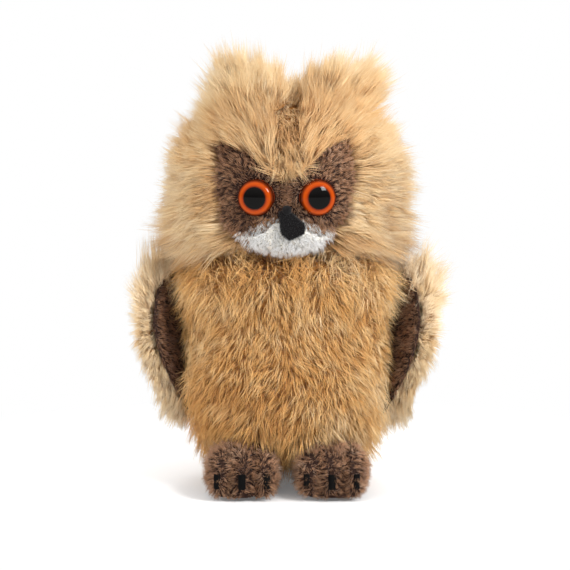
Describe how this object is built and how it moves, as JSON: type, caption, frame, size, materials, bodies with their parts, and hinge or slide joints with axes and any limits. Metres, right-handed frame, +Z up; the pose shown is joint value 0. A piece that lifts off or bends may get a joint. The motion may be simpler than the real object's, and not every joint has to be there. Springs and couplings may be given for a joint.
{
  "type": "interactive plush pet",
  "caption": "Stuffed toy owl with a turning head, flapping wings, a press button in the belly and a battery-driven mechanism inside.",
  "frame": {"origin": "centre of the box of the whole object, on the surface it stands on", "axes": "+Z up, the face looks along -Y, +X is the right side seen from the front"},
  "size_m": [0.137, 0.1152, 0.198],
  "materials": {
    "tan_pile": "long and short caramel knitted pile",
    "brown_pile": "short dark brown pile",
    "white_pile": "short off-white pile",
    "black_felt": "black felt",
    "claw_thread": "black felt and thread",
    "base_cloth": "brown woven cloth",
    "filling": "polyester fibre filling",
    "iris_plastic": "glossy orange plastic",
    "pupil_plastic": "glossy black plastic",
    "clear_plastic": "clear moulded plastic",
    "case_plastic": "moulded natural ABS",
    "gear_plastic": "moulded white acetal",
    "plated_steel": "zinc-plated steel",
    "cell_wrap": "plain wrapped steel can",
    "speaker_paper": "black paper cone with a steel magnet",
    "board_laminate": "green laminate"
  },
  "bodies": {
    "torso": {"base_flap": "base_cloth", "battery_cells": "cell_wrap", "battery_contacts": "plated_steel", "battery_door": "case_plastic", "battery_tray": "case_plastic", "body_plush": "tan_pile", "body_stuffing": "filling", "button_spring": "plated_steel", "case_front": "case_plastic", "case_rear": "case_plastic", "case_screws": "plated_steel", "circuit_board": "board_laminate", "door_screw": "plated_steel", "gear_pins": "plated_steel", "left_claws": "claw_thread", "left_foot": "brown_pile", "neck_clip": "plated_steel", "neck_gear": "gear_plastic", "neck_post": "case_plastic", "right_claws": "claw_thread", "right_foot": "brown_pile", "speaker": "speaker_paper", "switch_body": "case_plastic", "tail": "tan_pile", "touch_switch": "board_laminate", "wing_motor": "plated_steel"},
    "head": {"head_plush": "tan_pile", "head_stuffing": "filling", "left_eye_patch": "brown_pile", "right_eye_patch": "brown_pile", "left_iris": "iris_plastic", "right_iris": "iris_plastic", "left_pupil": "pupil_plastic", "right_pupil": "pupil_plastic", "left_eye_lens": "clear_plastic", "right_eye_lens": "clear_plastic", "eye_washers": "case_plastic", "muzzle": "white_pile", "beak": "black_felt", "left_brow_tuft": "tan_pile", "right_brow_tuft": "tan_pile", "head_cup": "case_plastic", "head_deck": "case_plastic", "head_screws": "plated_steel", "head_motor": "plated_steel", "lower_bush": "gear_plastic", "upper_bush": "gear_plastic"},
    "head_drive": {"head_pinion": "gear_plastic"},
    "left_wing": {"left_wing_plush": "tan_pile", "left_wing_lining": "brown_pile", "left_wing_lever": "gear_plastic"},
    "right_wing": {"right_wing_plush": "tan_pile", "right_wing_lining": "brown_pile", "right_wing_lever": "gear_plastic"},
    "left_gear": {"left_idler": "gear_plastic"},
    "right_gear": {"right_idler": "gear_plastic"},
    "wing_drive": {"wing_pinion": "gear_plastic"},
    "button": {"belly_button": "gear_plastic"},
    "switch": {"switch_knob": "gear_plastic"}
  },
  "joints": [
    {"name": "head_turn", "type": "hinge", "parent": "torso", "child": "head", "pos_m": [0, 0, 0.107], "axis": [0, 0, 1], "range_deg": [-45, 45]},
    {"name": "head_pinion_spin", "type": "hinge", "parent": "head", "child": "head_drive", "pos_m": [0, 0.018, 0.115], "axis": [0, 0, 1], "range_deg": [-90, 90]},
    {"name": "left_wing_flap", "type": "hinge", "parent": "torso", "child": "left_wing", "pos_m": [-0.029, 0, 0.092], "axis": [0, 1, 0], "range_deg": [0, 35]},
    {"name": "right_wing_flap", "type": "hinge", "parent": "torso", "child": "right_wing", "pos_m": [0.029, 0, 0.092], "axis": [0, -1, 0], "range_deg": [0, 35]},
    {"name": "left_idler_spin", "type": "hinge", "parent": "torso", "child": "left_gear", "pos_m": [-0.013, 0, 0.08], "axis": [0, 1, 0], "range_deg": [-18.9, 0]},
    {"name": "right_idler_spin", "type": "hinge", "parent": "torso", "child": "right_gear", "pos_m": [0.013, 0, 0.08], "axis": [0, 1, 0], "range_deg": [0, 18.9]},
    {"name": "wing_pinion_spin", "type": "hinge", "parent": "torso", "child": "wing_drive", "pos_m": [0.013, 0, 0.061], "axis": [0, 1, 0], "range_deg": [-40.9, 0]},
    {"name": "belly_press", "type": "slide", "parent": "torso", "child": "button", "axis": [0, 1, 0], "range_m": [0, 0.002], "stiffness_N_per_m": 200, "springref_m": -0.001, "deforming": ["button_spring"]},
    {"name": "power_slide", "type": "slide", "parent": "torso", "child": "switch", "axis": [1, 0, 0], "range_m": [0, 0.003]}
  ],
  "couplings": [
    {"joint": "head_pinion_spin", "follows": "head_turn", "ratio": 2},
    {"joint": "right_wing_flap", "follows": "left_wing_flap", "ratio": 1},
    {"joint": "left_idler_spin", "follows": "left_wing_flap", "ratio": -0.53846},
    {"joint": "right_idler_spin", "follows": "left_wing_flap", "ratio": 0.53846},
    {"joint": "wing_pinion_spin", "follows": "left_wing_flap", "ratio": -1.1667}
  ]
}
